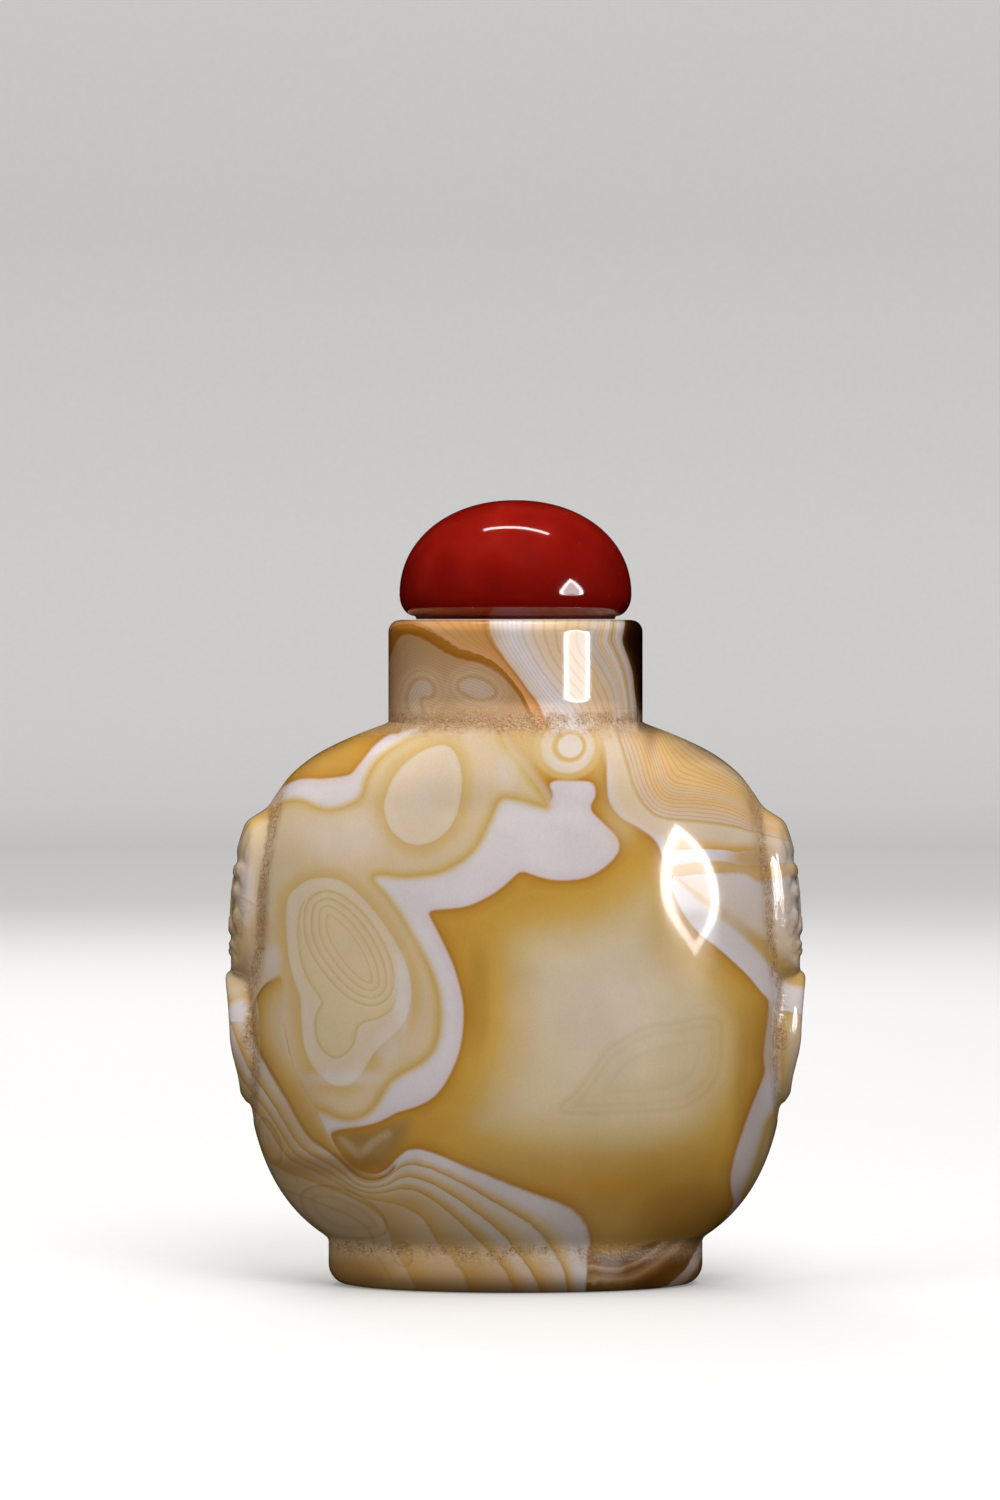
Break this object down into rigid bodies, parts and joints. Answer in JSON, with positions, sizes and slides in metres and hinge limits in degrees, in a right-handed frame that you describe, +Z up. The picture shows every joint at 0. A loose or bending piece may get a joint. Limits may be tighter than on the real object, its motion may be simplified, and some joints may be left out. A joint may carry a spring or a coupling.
{
  "type": "snuff bottle",
  "caption": "Flattened agate snuff bottle on an oval foot, with lion mask and ring reliefs on its narrow sides and a domed red stopper on a cork.",
  "frame": {"origin": "centre of the bottle on the surface that it stands on", "axes": "+Z up along the neck, X across the width from mask to mask, Y through the thickness, the pictured broad face looking along -Y"},
  "size_m": [0.0484, 0.0282, 0.0655],
  "materials": {
    "agate": "polished banded agate, milky white and honey amber, left matt and pitted in the hollows of the carving",
    "carnelian": "polished deep red carnelian",
    "cork": "bare cork"
  },
  "bodies": {
    "root": {"bottle": "agate", "stopper_cap": "carnelian", "stopper_cork": "cork"}
  },
  "joints": []
}
